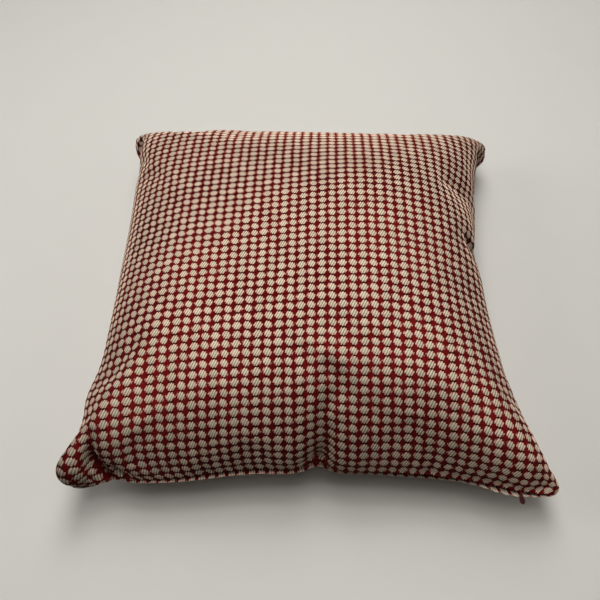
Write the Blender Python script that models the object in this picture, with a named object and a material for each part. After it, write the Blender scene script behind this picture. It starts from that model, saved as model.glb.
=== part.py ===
"""Square filled cushion in woven cloth, with a knife-edge seam and a concealed zip.

Two equal square panels are sewn together all round and filled. The cushion lies on
its back: +Z is up, the zip is in the front seam, towards -Y, and +X is to its right.
The origin is on the surface it lies on, under the middle of its box. Units are metres.
A place on a panel is given as (u, v), which run from -1 to 1 between opposite seams:
u from left to right and v from front to back.
"""
import math

import bmesh
import bpy
import numpy as np
from mathutils import Vector

# Driving sizes of the cloth and its filling
PANEL = 0.450              # side of each panel, seam to seam, as cut and sewn flat
CROWN = 0.087              # full height of the top panel over the seam, far from every seam
CROWN_ROUND = 3.10         # how soon the top turns level, going in from the seam
SIDE_SOFT = 1.00           # how gently it leaves the seam half way along a side
EAR_SOFT = 1.32            # and at the ears, where the two panels lie almost flat together
EAR_REACH = 2.6            # how close to the ears that softness stays
REST_DEPTH = 0.042         # depth of the flat underside below the seam
REST_REACH = 0.46          # panel place that its flat part reaches to on all four sides
UNDER_ROUND = 1.75         # how slowly the underside lifts off the surface past that
BLEND = 3.6                # how sharply the slopes from neighbouring seams run together
SEAM_NIP = 0.060           # share of its length that the seam loses to gathering at the ears
SEAM_NIP_POWER = 16.0      # how close to the seam the gathering stays

# How full the crown is towards each seam: over 1 is fuller
FULLNESS = {"left": 1.22, "right": 0.95, "front": 0.95, "back": 1.00}
LEAN_RIGHT = 0.155         # share by which the crown is higher at the right than at the middle
LEAN_BACK = -0.038

# Height of the seam at the four ears and half way along the four sides
EAR_RISE = {"front left": -0.003, "front right": -0.006, "back left": 0.007, "back right": -0.010}
SIDE_RISE = {"front": 0.008, "back": 0.012, "left": 0.003, "right": -0.016}

# Soft swells (+) and hollows (-) of the top, where the filling is uneven
SWELLS = (
    # u, v, radius, height
    (-0.66, -0.66, 0.32, -0.0045),
    (-0.66, 0.10, 0.45, -0.0035),
    (-0.66, 0.66, 0.32, -0.0045),
    (0.22, -0.22, 0.32, 0.008),
    (0.22, 0.22, 0.32, 0.011),
    (0.66, 0.22, 0.32, 0.009),
    (0.67, 0.36, 0.12, -0.007),
    (-0.85, -0.60, 0.20, 0.003),
    (0.12, -0.62, 0.18, -0.007),
    (0.38, -0.85, 0.20, -0.006),
    (0.66, -0.85, 0.20, -0.003),
    (0.86, -0.62, 0.20, -0.003),
    (-0.60, 0.85, 0.25, 0.006),
)

# Folds and tucks: a soft trough from one place to another, deepest at the first
FOLDS = (
    # u, v from, u, v to, width, depth
    (0.060, -1.00, 0.090, -0.45, 0.020, 0.010),
    (-0.780, -0.96, -0.900, -0.660, 0.012, 0.014),
    (-0.690, -0.97, -0.760, -0.820, 0.008, 0.005),
    (-0.960, 0.800, -0.840, 0.840, 0.010, 0.007),
    (0.960, 0.780, 0.840, 0.810, 0.011, 0.009),
    (0.900, -0.960, 0.820, -0.840, 0.011, 0.005),
    (-0.660, 0.980, -0.640, 0.780, 0.012, 0.005),
)
FOLD_SHARE = 0.4           # the most of the cushion's local thickness that a fold takes

# Nips, where gathering pulls the seam in and up at a place along one side
NIPS = (
    # side, place, width, reach, inward, upward
    ("front", 0.06, 0.09, 0.35, 0.005, 0.006),
    ("front", -0.76, 0.06, 0.10, 0.005, 0.002),
    ("left", -0.74, 0.07, 0.12, 0.004, 0.000),
    ("left", 0.80, 0.05, 0.10, 0.003, 0.000),
    ("right", 0.78, 0.07, 0.12, 0.006, 0.000),
    ("right", 0.10, 0.12, 0.20, 0.003, 0.000),
)
# Axis that each side faces along, and which way
SIDES = {"front": (1, -1), "back": (1, 1), "left": (0, -1), "right": (0, 1)}

# Ears: how far each tip is pulled in and lifted, and the rounding of the tip
EAR_PULL = {
    # ear: which way in u, which way in v, in along x, in along y, up
    "front left": (-1, -1, -0.001, 0.002, 0.008),
    "front right": (1, -1, 0.003, 0.000, 0.000),
    "back left": (-1, 1, 0.000, 0.001, 0.000),
    "back right": (1, 1, 0.019, 0.000, 0.000),
}
EAR_PULL_REACH = 9.0       # how close to the tip the pull stays
EAR_ROUND = 0.004          # how much of the sharp tip is rounded off
EAR_ROUND_REACH = 28.0

# Pulls, where the cloth has been drawn aside or pressed down round a place
PULLS = (
    # u, v, radius, right, back, up
    (-1.00, -1.00, 0.16, -0.001, 0.009, 0.001),
    (-0.86, -0.86, 0.16, -0.004, -0.010, 0.000),
    (-0.80, -0.55, 0.22, -0.006, 0.000, -0.0135),
    (-0.50, -0.85, 0.22, 0.000, -0.002, -0.003),
)

# Mesh of each panel, with smaller cells near the seam
CELLS = 50
EDGE_TIGHTEN = 0.25        # 0 gives equal cells, 0.5 the smallest ones at the seam

# Zip puller: a flat teardrop tab that hangs out of the zip
PULL_PLACE = 0.840         # along the front seam
PULL_LENGTH = 0.0185
PULL_WIDTH = 0.0046
PULL_NECK = 0.0022
PULL_THICK = 0.0016
PULL_GAP = 0.0006          # clear of the cloth
PULL_SWING = math.radians(19.0)     # sideways, towards the right ear
PULL_LIFT = math.radians(12.0)      # outwards at its lower end
PULL_SIDES = 20

CLOTH_RED = (0.135, 0.016, 0.014, 1.0)
PULL_RED = (0.110, 0.010, 0.014, 1.0)


def clear_scene():
    """Take everything out of the scene."""
    for thing in list(bpy.data.objects):
        bpy.data.objects.remove(thing, do_unlink=True)


def material(name, colour, roughness):
    """A plain Principled finish."""
    finish = bpy.data.materials.new(name)
    finish.use_nodes = True
    shader = finish.node_tree.nodes["Principled BSDF"]
    shader.inputs["Base Color"].default_value = colour
    shader.inputs["Roughness"].default_value = roughness
    shader.inputs["Metallic"].default_value = 0.0
    return finish


def panel_lines():
    """Panel places of the grid lines from one seam to the other, closer together at the seams."""
    even = np.linspace(-1.0, 1.0, CELLS + 1)
    return (1.0 + EDGE_TIGHTEN) * even - EDGE_TIGHTEN * even ** 3


def seam_distance(u, v):
    """Distance in from the four seams as one smooth value, 0 on a seam."""
    small = 0.004
    ways = (
        (1 + u + small) * FULLNESS["left"],
        (1 - u + small) * FULLNESS["right"],
        (1 + v + small) * FULLNESS["front"],
        (1 - v + small) * FULLNESS["back"],
    )
    joined = sum(way ** -BLEND for way in ways) ** (-1.0 / BLEND)
    return np.clip(joined, 0.0, 1.0)


def seam_height(u, v):
    """Height of the sheet that the seam runs in, from the rises at ears and sides."""
    left, right = (1 - u) / 2, (1 + u) / 2
    front, back = (1 - v) / 2, (1 + v) / 2
    ears = (
        EAR_RISE["front left"] * left * front
        + EAR_RISE["front right"] * right * front
        + EAR_RISE["back left"] * left * back
        + EAR_RISE["back right"] * right * back
    )
    sides = (
        SIDE_RISE["front"] * (1 - u ** 2) * front ** 3
        + SIDE_RISE["back"] * (1 - u ** 2) * back ** 3
        + SIDE_RISE["left"] * (1 - v ** 2) * left ** 3
        + SIDE_RISE["right"] * (1 - v ** 2) * right ** 3
    )
    return ears + sides


def softness(u, v):
    """How gently a panel leaves the seam: more so at the ears."""
    return SIDE_SOFT + (EAR_SOFT - SIDE_SOFT) * np.abs(u * v) ** EAR_REACH


def top_rise(u, v):
    """Height of the top panel over the seam."""
    level = 1.0 - (1.0 - seam_distance(u, v)) ** CROWN_ROUND
    rise = CROWN * level ** softness(u, v) * (1 + LEAN_RIGHT * u + LEAN_BACK * v)
    inside = np.clip(3.0 * (1 - u ** 2) * (1 - v ** 2), 0.0, 1.0)
    for swell_u, swell_v, radius, height in SWELLS:
        away = ((u - swell_u) ** 2 + (v - swell_v) ** 2) / radius ** 2
        rise = rise + height * np.exp(-away) * inside
    return rise


def under_drop(u, v):
    """Depth of the underside below the seam: level in the middle, then rolled up to the seam."""
    outside = np.hypot(np.maximum(np.abs(u) - REST_REACH, 0.0), np.maximum(np.abs(v) - REST_REACH, 0.0))
    climbed = outside / (outside + seam_distance(u, v))
    return REST_DEPTH * (1.0 - climbed ** UNDER_ROUND) ** softness(u, v)


def from_middle(rate, steps, axis):
    """Add a rate up along one axis, starting at the middle grid line."""
    rate = np.moveaxis(rate, axis, 0)
    pieces = 0.5 * (rate[1:] + rate[:-1]) * steps.reshape((-1,) + (1,) * (rate.ndim - 1))
    total = np.concatenate([np.zeros_like(rate[:1]), np.cumsum(pieces, axis=0)])
    return np.moveaxis(total - total[CELLS // 2], 0, axis)


def drawn_in(u, v, height):
    """Plan place of each point of the crowned panel, so that its threads keep their length.

    Where the panel climbs it covers less ground, which draws the sides in between the ears.
    """
    line = panel_lines() * PANEL / 2
    steps = np.diff(line)
    climb_u = np.gradient(height, line, axis=0)
    climb_v = np.gradient(height, line, axis=1)
    thread_u = 1 - SEAM_NIP * np.abs(v) ** SEAM_NIP_POWER
    thread_v = 1 - SEAM_NIP * np.abs(u) ** SEAM_NIP_POWER
    x, y = u * PANEL / 2, v * PANEL / 2
    for _ in range(4):
        slant_u = np.gradient(y, line, axis=0)
        slant_v = np.gradient(x, line, axis=1)
        run_u = np.sqrt(np.clip(thread_u ** 2 - climb_u ** 2 - slant_u ** 2, 0.02, 1.0))
        run_v = np.sqrt(np.clip(thread_v ** 2 - climb_v ** 2 - slant_v ** 2, 0.02, 1.0))
        x, y = from_middle(run_u, steps, 0), from_middle(run_v, steps, 1)
    return x, y


def normals(places):
    """Unit normals of a grid of points."""
    along = np.gradient(places, axis=0)
    across = np.gradient(places, axis=1)
    out = np.cross(along, across)
    return out / np.linalg.norm(out, axis=-1, keepdims=True)


def fold_depth(u, v):
    """Depth of the folds at each place of the panel."""
    depth = np.zeros_like(u)
    for u_from, v_from, u_to, v_to, width, deep in FOLDS:
        run = np.array([u_to - u_from, v_to - v_from])
        reach = np.hypot(*run)
        along = ((u - u_from) * run[0] + (v - v_from) * run[1]) / reach
        across = ((u - u_from) * run[1] - (v - v_from) * run[0]) / reach * PANEL / 2
        past = np.clip(along / reach, 0.0, 1.0)
        before = np.clip(-along / reach, 0.0, None)
        fade = np.cos(past * math.pi / 2) ** 1.5 * np.exp(-(before * 4) ** 2)
        depth = depth + deep * fade * np.exp(-(across / width) ** 2)
    return depth


def cushion_grids():
    """Points of the top and of the underside, which share the seam."""
    lines = panel_lines()
    u, v = np.meshgrid(lines, lines, indexing="ij")
    seam = seam_height(u, v)
    rise = top_rise(u, v)
    x, y = drawn_in(u, v, seam + rise)
    seam_only = np.maximum(np.abs(u), np.abs(v)) > 1 - 1e-9

    drop = np.where(seam_only, 0.0, under_drop(u, v))
    rise = np.where(seam_only, 0.0, rise)
    level = drop / REST_DEPTH

    top = np.stack([x, y, seam + rise], axis=-1)
    under = np.stack([x, y, seam * (1 - level) - drop], axis=-1)
    depth = np.minimum(fold_depth(u, v), FOLD_SHARE * (rise + drop))
    top -= normals(top) * depth[..., None]
    for panel, lifted in ((top, 1.0), (under, 1 - level)):
        nip_seam(panel, u, v, lifted)
        pull_ears(panel, u, v, lifted)
        draw_aside(panel, u, v, lifted)
    return top, under


def nip_seam(panel, u, v, lifted):
    """Pull the panel in and up where its seam is nipped."""
    for side, place, width, reach, inward, upward in NIPS:
        axis, way = SIDES[side]
        along, towards = (v, u) if axis == 0 else (u, v)
        nip = np.exp(-((along - place) / width) ** 2 - (1 - way * towards) / reach)
        panel[..., axis] -= way * inward * nip
        panel[..., 2] += upward * nip * lifted


def pull_ears(panel, u, v, lifted):
    """Pull each ear's tip in and up, and round it off."""
    for way_u, way_v, in_x, in_y, up in EAR_PULL.values():
        near_u, near_v = np.clip(way_u * u, 0.0, 1.0), np.clip(way_v * v, 0.0, 1.0)
        pull = (near_u * near_v) ** EAR_PULL_REACH
        tip = EAR_ROUND * (near_u * near_v) ** EAR_ROUND_REACH
        panel[..., 0] -= way_u * (in_x * pull + tip)
        panel[..., 1] -= way_v * (in_y * pull + tip)
        panel[..., 2] += up * pull * lifted


def draw_aside(panel, u, v, lifted):
    """Draw the cloth aside round each pull."""
    for at_u, at_v, radius, right, back, up in PULLS:
        share = np.exp(-((u - at_u) ** 2 + (v - at_v) ** 2) / radius ** 2) * lifted
        panel[..., 0] += right * share
        panel[..., 1] += back * share
        panel[..., 2] += up * share


def settle(top, under):
    """Move both grids so that the box stands centred on the origin."""
    both = np.concatenate([top.reshape(-1, 3), under.reshape(-1, 3)])
    low, high = both.min(axis=0), both.max(axis=0)
    shift = np.array([-(low[0] + high[0]) / 2, -(low[1] + high[1]) / 2, -low[2]])
    return top + shift, under + shift


def panel_mesh(bm, places):
    """One panel as a grid of faces through the given points."""
    made = bmesh.ops.create_grid(bm, x_segments=CELLS, y_segments=CELLS, size=1.0)
    corners = sorted(made["verts"], key=lambda vert: (round(vert.co.x, 5), round(vert.co.y, 5)))
    for vert, place in zip(corners, places.reshape(-1, 3)):
        vert.co = Vector(place)
    return {face for vert in made["verts"] for face in vert.link_faces}


def make_cushion(top, under):
    """Sew the two panels together into one closed solid."""
    bm = bmesh.new()
    panel_mesh(bm, top)
    below = panel_mesh(bm, under)
    bmesh.ops.reverse_faces(bm, faces=list(below))
    bmesh.ops.remove_doubles(bm, verts=bm.verts, dist=1e-6)
    bmesh.ops.triangulate(bm, faces=bm.faces)
    mesh = bpy.data.meshes.new("cushion")
    bm.to_mesh(mesh)
    bm.free()
    mesh.shade_smooth()
    cushion = bpy.data.objects.new("cushion", mesh)
    bpy.context.collection.objects.link(cushion)
    mesh.materials.append(material("woven cloth", CLOTH_RED, 0.9))
    return cushion


def front_seam(top, place):
    """Point on the front seam at a place along it."""
    lines = panel_lines()
    return Vector([np.interp(place, lines, top[:, 0, axis]) for axis in range(3)])


def pull_outline():
    """Half widths down the length of the tab: a narrow neck, a full belly and a round tip."""
    lengths = np.linspace(0.0, 1.0, PULL_SIDES // 2 + 1)
    belly = np.sin(math.pi * np.clip(lengths, 0.0, 1.0) ** 1.6) ** 0.8
    widths = (PULL_NECK * (1 - lengths) ** 2 + PULL_WIDTH * belly) / 2
    return lengths * PULL_LENGTH, np.minimum(widths, PULL_WIDTH / 2)


def make_zip_pull(top):
    """The tab, hung just outside the seam with its face to the front."""
    drops, halves = pull_outline()
    outline = [(half, -drop) for drop, half in zip(drops, halves)]
    outline += [(-half, -drop) for drop, half in zip(drops[-2::-1], halves[-2::-1])]
    bm = bmesh.new()
    ring = [bm.verts.new((x, -PULL_THICK / 2, z)) for x, z in outline]
    face = bm.faces.new(ring)
    solid = bmesh.ops.extrude_face_region(bm, geom=[face])
    moved = [item for item in solid["geom"] if isinstance(item, bmesh.types.BMVert)]
    bmesh.ops.translate(bm, verts=moved, vec=(0.0, PULL_THICK, 0.0))
    bmesh.ops.recalc_face_normals(bm, faces=bm.faces)
    mesh = bpy.data.meshes.new("zip_pull")
    bm.to_mesh(mesh)
    bm.free()
    pull = bpy.data.objects.new("zip_pull", mesh)
    bpy.context.collection.objects.link(pull)
    pull.rotation_euler = (-PULL_LIFT, -PULL_SWING, 0.0)
    pull.location = front_seam(top, PULL_PLACE) + Vector((0.0, -PULL_THICK / 2 - PULL_GAP, 0.0))
    edge = pull.modifiers.new("round edge", "BEVEL")
    edge.width = 0.0004
    edge.segments = 2
    edge.angle_limit = math.radians(60.0)
    mesh.materials.append(material("puller enamel", PULL_RED, 0.35))
    return pull


def main():
    clear_scene()
    top, under = settle(*cushion_grids())
    make_cushion(top, under)
    make_zip_pull(top)


main()
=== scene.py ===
"""Looks of a square filled cushion in dotted woven cloth, with a small zip puller.

The cushion lies on its back: +Z is up, the front seam with the zip is towards -Y and
+X is to the right. Units are metres. A place on a panel is given as (u, v), which run
from -1 to 1 between opposite seams: u from left to right and v from front to back.
"""

import math

import bpy
import numpy as np
from mathutils import Matrix, Vector


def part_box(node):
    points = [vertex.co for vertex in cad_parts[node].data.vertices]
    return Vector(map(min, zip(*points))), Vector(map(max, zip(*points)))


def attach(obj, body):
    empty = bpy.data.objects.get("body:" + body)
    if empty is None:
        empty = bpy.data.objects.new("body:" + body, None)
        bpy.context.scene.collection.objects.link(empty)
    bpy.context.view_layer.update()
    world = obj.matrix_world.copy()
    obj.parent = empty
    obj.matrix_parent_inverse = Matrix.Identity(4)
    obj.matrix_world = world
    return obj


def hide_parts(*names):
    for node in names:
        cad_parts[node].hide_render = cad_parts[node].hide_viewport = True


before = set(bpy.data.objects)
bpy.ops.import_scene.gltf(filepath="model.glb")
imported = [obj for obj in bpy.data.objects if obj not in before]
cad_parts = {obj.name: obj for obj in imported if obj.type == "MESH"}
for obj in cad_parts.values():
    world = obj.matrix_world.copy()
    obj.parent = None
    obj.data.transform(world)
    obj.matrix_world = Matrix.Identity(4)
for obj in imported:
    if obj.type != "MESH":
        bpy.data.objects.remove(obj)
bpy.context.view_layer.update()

# Cloth and filling, the same sizes as the solids have
PANEL = 0.450              # side of each panel, seam to seam, as cut and sewn flat
CROWN = 0.087              # full height of the top panel over the seam, far from every seam
CROWN_ROUND = 3.10         # how soon the top turns level, going in from the seam
SIDE_SOFT = 1.00           # how gently it leaves the seam half way along a side
EAR_SOFT = 1.32            # and at the ears, where the two panels lie almost flat together
EAR_REACH = 2.6            # how close to the ears that softness stays
REST_DEPTH = 0.042         # depth of the flat underside below the seam
REST_REACH = 0.46          # panel place that its flat part reaches to on all four sides
UNDER_ROUND = 1.75         # how slowly the underside lifts off the surface past that
BLEND = 3.6                # how sharply the slopes from neighbouring seams run together
SEAM_START = 0.004         # distance that the seam itself counts as having
SWELL_EDGE = 3.0           # how soon the swells reach their height in from the seam
THREAD_PASSES = 4          # how many times the plan is fitted to the threads' lengths
LEAST_RUN = 0.02           # least share of a thread's length that shows in the plan
SEAM_NIP = 0.060           # share of its length that the seam loses to gathering at the ears
SEAM_NIP_POWER = 16.0      # how close to the seam the gathering stays

# How full the crown is towards each seam: over 1 is fuller
FULLNESS = {"left": 1.22, "right": 0.95, "front": 0.95, "back": 1.00}
LEAN_RIGHT = 0.155         # share by which the crown is higher at the right than at the middle
LEAN_BACK = -0.038

# Height of the seam at the four ears and half way along the four sides
EAR_RISE = {"front left": -0.003, "front right": -0.006, "back left": 0.007, "back right": -0.010}
SIDE_RISE = {"front": 0.008, "back": 0.012, "left": 0.003, "right": -0.016}

# Soft swells and hollows of the top
SWELLS = (
    # u, v, radius, height
    (-0.66, -0.66, 0.32, -0.0045),
    (-0.66, 0.10, 0.45, -0.0035),
    (-0.66, 0.66, 0.32, -0.0045),
    (0.22, -0.22, 0.32, 0.008),
    (0.22, 0.22, 0.32, 0.011),
    (0.66, 0.22, 0.32, 0.009),
    (0.67, 0.36, 0.12, -0.007),
    (-0.85, -0.60, 0.20, 0.003),
    (0.12, -0.62, 0.18, -0.007),
    (0.38, -0.85, 0.20, -0.006),
    (0.66, -0.85, 0.20, -0.003),
    (0.86, -0.62, 0.20, -0.003),
    (-0.60, 0.85, 0.25, 0.006),
)

# Folds and tucks: a soft trough from one place to another, deepest at the first
FOLDS = (
    # u, v from, u, v to, width, depth
    (0.036, -1.00, 0.150, -0.55, 0.013, 0.0065),
    (-0.785, -1.00, -0.800, -0.640, 0.010, 0.017),
    (-0.690, -1.00, -0.760, -0.800, 0.006, 0.007),
    (-0.960, 0.800, -0.840, 0.840, 0.010, 0.007),
    (0.960, 0.780, 0.840, 0.810, 0.011, 0.009),
    (0.900, -0.960, 0.820, -0.840, 0.011, 0.005),
    (-0.660, 0.980, -0.640, 0.780, 0.012, 0.005),
)
FOLD_SHARE = 0.55          # deepest fold, as a share of the thickness there
FOLD_FADE = 1.5            # how a fold gets shallower along its length
FOLD_START = 4.0           # how short it is before its deepest place

# Sharp creases, most of them in the folds, with how much painted shade each one gets
CREASES = (
    # u, v from, u, v to, width, depth, painted shade
    (-0.770, -1.00, -0.805, -0.680, 0.0040, 0.0090, 0.80),
    (-0.700, -1.00, -0.765, -0.840, 0.0030, 0.0050, 0.50),
    (0.040, -1.00, 0.105, -0.740, 0.0050, 0.0030, 0.60),
    (0.790, 0.060, 0.650, 0.110, 0.0040, 0.0050, 0.50),
    (0.960, 0.720, 0.830, 0.780, 0.0045, 0.0060, 0.60),
    (-0.980, 0.830, -0.870, 0.860, 0.0040, 0.0050, 0.50),
    (-0.670, 1.000, -0.660, 0.840, 0.0040, 0.0030, 0.30),
    (-0.400, -1.00, -0.380, -0.880, 0.0045, 0.0015, 0.10),
    (0.480, -1.00, 0.440, -0.860, 0.0050, 0.0020, 0.10),
)

# Nips, where gathering pulls the seam in and up at a place along one side
NIPS = (
    # side, place, width, reach, inward, upward
    ("front", 0.045, 0.045, 0.35, 0.004, 0.002),
    ("front", -0.76, 0.05, 0.10, 0.003, 0.000),
    ("left", -0.66, 0.05, 0.12, 0.002, 0.000),
    ("left", 0.80, 0.05, 0.10, 0.003, 0.000),
    ("right", 0.78, 0.07, 0.12, 0.004, 0.000),
    ("right", 0.10, 0.12, 0.20, 0.003, 0.000),
    ("right", 0.86, 0.05, 0.12, 0.006, 0.000),
)
SIDES = {"front": (1, -1), "back": (1, 1), "left": (0, -1), "right": (0, 1)}

# Ears: how far each tip is pulled in and lifted, and the rounding of the tip
EAR_PULL = {
    # ear: which way in u, which way in v, in along x, in along y, up
    "front left": (-1, -1, -0.001, 0.002, 0.008),
    "front right": (1, -1, 0.002, 0.000, 0.000),
    "back left": (-1, 1, 0.000, 0.001, 0.000),
    "back right": (1, 1, 0.010, 0.000, 0.000),
}
EAR_PULL_REACH = 9.0       # how close to the ear its pull stays
EAR_ROUND = 0.004          # how far the very tip is drawn in
EAR_ROUND_REACH = 28.0

# Pulls, where the cloth has been drawn aside or pressed down round a place
PULLS = (
    # u, v, radius, right, back, up
    (-1.00, -1.00, 0.070, 0.007, 0.004, 0.000),
    (-0.95, -0.93, 0.110, 0.002, 0.002, -0.004),
    (-0.86, -0.98, 0.080, 0.000, 0.001, 0.000),
    (-1.00, -0.86, 0.080, 0.004, 0.000, 0.000),
    (-0.90, -0.62, 0.120, -0.004, 0.000, 0.000),
    (-1.00, -1.00, 0.16, -0.001, 0.009, 0.001),
    (-0.86, -0.86, 0.16, -0.004, -0.010, 0.000),
    (-0.80, -0.55, 0.22, -0.006, 0.000, -0.0135),
    (-0.50, -0.85, 0.22, 0.000, -0.002, -0.003),
    (0.73, 0.06, 0.050, -0.003, 0.000, -0.001),
    (1.00, 0.60, 0.40, 0.006, 0.000, 0.000),
    (1.00, -0.05, 0.40, 0.005, 0.000, 0.000),
    (1.00, -0.80, 0.35, 0.004, 0.000, 0.000),
    (-0.98, -0.92, 0.060, 0.002, 0.000, 0.000),
    (1.00, -0.40, 0.25, 0.0035, 0.000, 0.000),
)

# Ears that hold a lump of filling
LOBES = (
    # u, v, radius, above, below
    (-0.91, -0.90, 0.100, 0.006, 0.003),
)
LOBE_EDGE = 0.05           # how far in from the seam a lump has its full height

# Fine mesh of each panel
CELLS = 96
EDGE_TIGHTEN = 0.40        # how much closer together its lines are at the seams

# Cloth simulation that gives the fine folds
HELD = 0.52                # panel place that the held part of the underside reaches to
PRESSURE = 4.0
CLOTH_STEPS = 20
FOLD_PASSES = 60           # how many times the moves are evened out to find the fine part
MOST_MOVED = 0.006         # farthest that the fine part may move the cloth

# The seam, and the lips of cloth beside it
LIPS = (
    # panel, seam, from, to, distance from the seam, width, swelling, outward, upward
    (0, "all", -2.00, 2.00, 0.0000, 0.0009, 0.0000, -0.0009, 0.0000),
    (1, "all", -2.00, 2.00, 0.0023, 0.0014, 0.0005, 0.0000, 0.0000),
    (-1, "all", -2.00, 2.00, 0.0023, 0.0014, 0.0005, 0.0000, 0.0000),
    (-1, "front", -0.66, -0.04, 0.0027, 0.0019, 0.0000, 0.0026, 0.0009),
    (-1, "front", 0.30, 0.90, 0.0027, 0.0019, 0.0000, 0.0018, 0.0006),
    (-1, "front", 0.68, 0.84, 0.0046, 0.0034, 0.0000, 0.0074, 0.0034),
    (0, "front", 0.36, 0.93, 0.0000, 0.0011, 0.0000, -0.0016, -0.0016),
    (1, "front", 0.36, 0.93, 0.0022, 0.0016, 0.0003, 0.0010, 0.0000),
)
LIP_ENDS = 0.03            # softness of a lip's two ends
BY_A_SEAM = (0.90, 0.95)   # panel places between which a side's own lips come up
CALM_EARS = 0.10           # how near an ear the lips that run all round die out
SCALLOPED = 0.004          # lips farther from the seam than this are scalloped, dot by dot
SCALLOP = 0.18             # share of such a lip that its scallops take
CREASE_EDGE = 0.004        # distance from the seam where the creases have their full depth
SEAM_DARK = 0.0010         # how far from the seam its dark line reaches
SEAM_DARKNESS = 0.6
ZIP_STRETCH = (0.34, 0.92)
SLIT_SHADE_REACH = (0.0010, 0.0014)  # how far the painted shade of the slit reaches on the top and under it

# Where the cloth turns away from the window, and places lighter or darker than that
FRONT_FROM = 0.27          # share of the front in a normal, where the shade begins
FRONT_FULL = 0.66          # and where it is full
SHADES = (
    # u, v, radius, lighter (over 0) or darker (under 0)
    (0.90, -0.93, 0.20, 0.60),
    (-0.88, -0.92, 0.16, -0.38),
    (0.11, -0.84, 0.09, -0.30),
    (-0.68, -0.78, 0.14, -0.22),
    (-0.20, -0.82, 0.14, 0.08),
)

# Zip puller: a flat teardrop tab with a raised rim, hung by a small ring
PULL_PLACE = 0.830
PULL_LENGTH = 0.0160
PULL_WIDTH = 0.0042
PULL_NECK = 0.0022         # width at its top
PULL_THICK = 0.0012
PULL_RIM = 0.0007
PULL_SUNK = 0.0004         # depth of the tab's middle inside its rim
PULL_EDGE = 0.00018        # rounding of its edges
BELLY_LOW = 1.6            # how low the teardrop is widest
BELLY_ROUND = 0.8
PULL_OUT = 0.0022          # clear of the seam
PULL_UP = 0.0028           # over the seam
PULL_SWING = math.radians(19.0)
PULL_LIFT = math.radians(16.0)
PULL_SIDES = 48
RING_RADIUS = 0.0015
RING_WIRE = 0.00045
RING_UP = 0.0006

# The weave: dots in straight columns and rows, wide and narrow ones in turn across
DOT_ACROSS = 0.00885       # from one column of dots to the next
DOT_UP = 0.00788           # from one row of dots to the next
TOP_START = (-1.46, 7.77)  # where the middle of the top panel falls among its dots
UNDER_START = (-1.46, 0.20)

# Camera, held over the front seam and looking down on the crown
LOOK_AT = Vector((-0.00960, -0.01859, 0.0420))
CAMERA_AWAY = 0.6303
CAMERA_ROUND = math.radians(4.669)
CAMERA_ABOVE = math.radians(56.544)
CAMERA_ROLL = math.radians(3.786)
CAMERA_LENS = 37.86
FILM = 36.0

# The floor, and the brightness of the room behind it
FLOOR_SIZE = 8.0
ROOM_BRIGHTNESS = 0.60

# Lights, all as far from the middle of the floor under the cushion
LIGHT_AWAY = 1.6
LIGHT_SIZE = 0.75
LIGHT_COLOUR = (1.0, 0.985, 0.965)
LIGHTS = (
    # name, degrees round from the back, degrees above the floor, power
    ("window", 0.0, 55.0, 7.6),
    ("ceiling back", 0.0, 70.0, 7.0),
    ("ceiling middle", 0.0, 90.0, 6.4),
    ("ceiling front", 180.0, 70.0, 3.0),
    ("left wall", -90.0, 35.0, 5.4),
    ("right wall", 90.0, 35.0, 2.0),
)


def rgb(red, green, blue):
    """A colour from its three screen values, 0 to 255."""
    shares = (value / 255 for value in (red, green, blue))
    return tuple(s / 12.92 if s < 0.04045 else ((s + 0.055) / 1.055) ** 2.4 for s in shares) + (1.0,)


# Shape of the panels

def panel_lines():
    """Panel places of the grid lines from one seam to the other, closer together at the seams."""
    even = np.linspace(-1.0, 1.0, CELLS + 1)
    return (1.0 + EDGE_TIGHTEN) * even - EDGE_TIGHTEN * even ** 3


def seam_distance(u, v):
    """Distance in from the four seams as one smooth value, 0 on a seam."""
    ways = (
        (1 + u + SEAM_START) * FULLNESS["left"],
        (1 - u + SEAM_START) * FULLNESS["right"],
        (1 + v + SEAM_START) * FULLNESS["front"],
        (1 - v + SEAM_START) * FULLNESS["back"],
    )
    joined = sum(way ** -BLEND for way in ways) ** (-1.0 / BLEND)
    return np.clip(joined, 0.0, 1.0)


def seam_height(u, v):
    """Height of the sheet that the seam runs in, from the rises at ears and sides."""
    left, right = (1 - u) / 2, (1 + u) / 2
    front, back = (1 - v) / 2, (1 + v) / 2
    ears = (
        EAR_RISE["front left"] * left * front
        + EAR_RISE["front right"] * right * front
        + EAR_RISE["back left"] * left * back
        + EAR_RISE["back right"] * right * back
    )
    sides = (
        SIDE_RISE["front"] * (1 - u ** 2) * front ** 3
        + SIDE_RISE["back"] * (1 - u ** 2) * back ** 3
        + SIDE_RISE["left"] * (1 - v ** 2) * left ** 3
        + SIDE_RISE["right"] * (1 - v ** 2) * right ** 3
    )
    return ears + sides


def softness(u, v):
    """How gently a panel leaves the seam: more so at the ears."""
    return SIDE_SOFT + (EAR_SOFT - SIDE_SOFT) * np.abs(u * v) ** EAR_REACH


def top_rise(u, v):
    """Height of the top panel over the seam."""
    level = 1.0 - (1.0 - seam_distance(u, v)) ** CROWN_ROUND
    rise = CROWN * level ** softness(u, v) * (1 + LEAN_RIGHT * u + LEAN_BACK * v)
    inside = np.clip(SWELL_EDGE * (1 - u ** 2) * (1 - v ** 2), 0.0, 1.0)
    for swell_u, swell_v, radius, height in SWELLS:
        away = ((u - swell_u) ** 2 + (v - swell_v) ** 2) / radius ** 2
        rise = rise + height * np.exp(-away) * inside
    return rise


def under_drop(u, v):
    """Depth of the underside below the seam: level in the middle, then rolled up to the seam."""
    past_u = np.maximum(np.abs(u) - REST_REACH, 0.0)
    past_v = np.maximum(np.abs(v) - REST_REACH, 0.0)
    outside = np.hypot(past_u, past_v)
    climbed = outside / (outside + seam_distance(u, v))
    return REST_DEPTH * (1.0 - climbed ** UNDER_ROUND) ** softness(u, v)


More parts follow.
